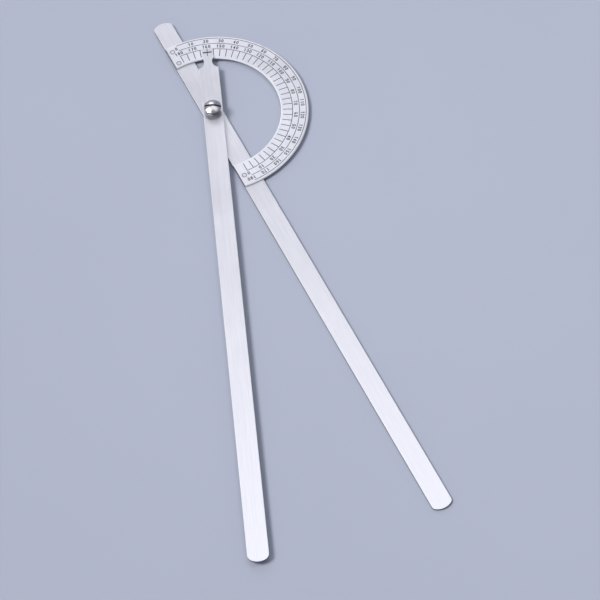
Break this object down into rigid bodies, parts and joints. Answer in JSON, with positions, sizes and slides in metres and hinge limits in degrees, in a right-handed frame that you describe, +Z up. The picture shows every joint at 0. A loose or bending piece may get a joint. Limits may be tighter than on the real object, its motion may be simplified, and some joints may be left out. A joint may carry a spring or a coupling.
{
  "type": "protractor",
  "caption": "Long-arm steel protractor: a fixed arm with an engraved half-circle degree scale and a pointer arm that turns over it on a slotted screw, for reading angles.",
  "frame": {"origin": "centre of the threaded bush's lower face, on the pivot axis, where the instrument rests", "axes": "+Z up along the pivot axis through the screw head, +Y along the fixed arm towards its short end, +X towards the half-circle scale"},
  "size_m": [0.1587, 0.3587, 0.0105],
  "materials": {
    "arm_steel": "bright satin, fine grain along the arm",
    "scale_steel": "satin, fine grain, bright bevelled rim",
    "rivet_steel": "satin, ground flush",
    "screw_steel": "polished dome",
    "washer_steel": "plain",
    "bush_steel": "turned",
    "black_fill": "black colour fill in engraved grooves"
  },
  "bodies": {
    "fixed_arm": {"base_arm": "arm_steel", "scale_plate": "scale_steel", "scale_rivets": "rivet_steel", "tick_marks": "black_fill", "ring_lines": "black_fill", "outer_numerals": "black_fill", "inner_numerals": "black_fill", "spacer_washer": "washer_steel", "friction_washer": "washer_steel", "threaded_bush": "bush_steel"},
    "moving_arm": {"moving_arm": "arm_steel", "pointer_mark": "black_fill"},
    "pivot_screw": {"pivot_screw": "screw_steel"}
  },
  "joints": [
    {"name": "arm_turn", "type": "hinge", "parent": "fixed_arm", "child": "moving_arm", "pos_m": [0, 0, 0.0041], "axis": [0, 0, 1], "continuous": true},
    {"name": "screw_turn", "type": "hinge", "parent": "fixed_arm", "child": "pivot_screw", "pos_m": [0, 0, 0.0041], "axis": [0, 0, 1], "range_deg": [0, 180]}
  ]
}
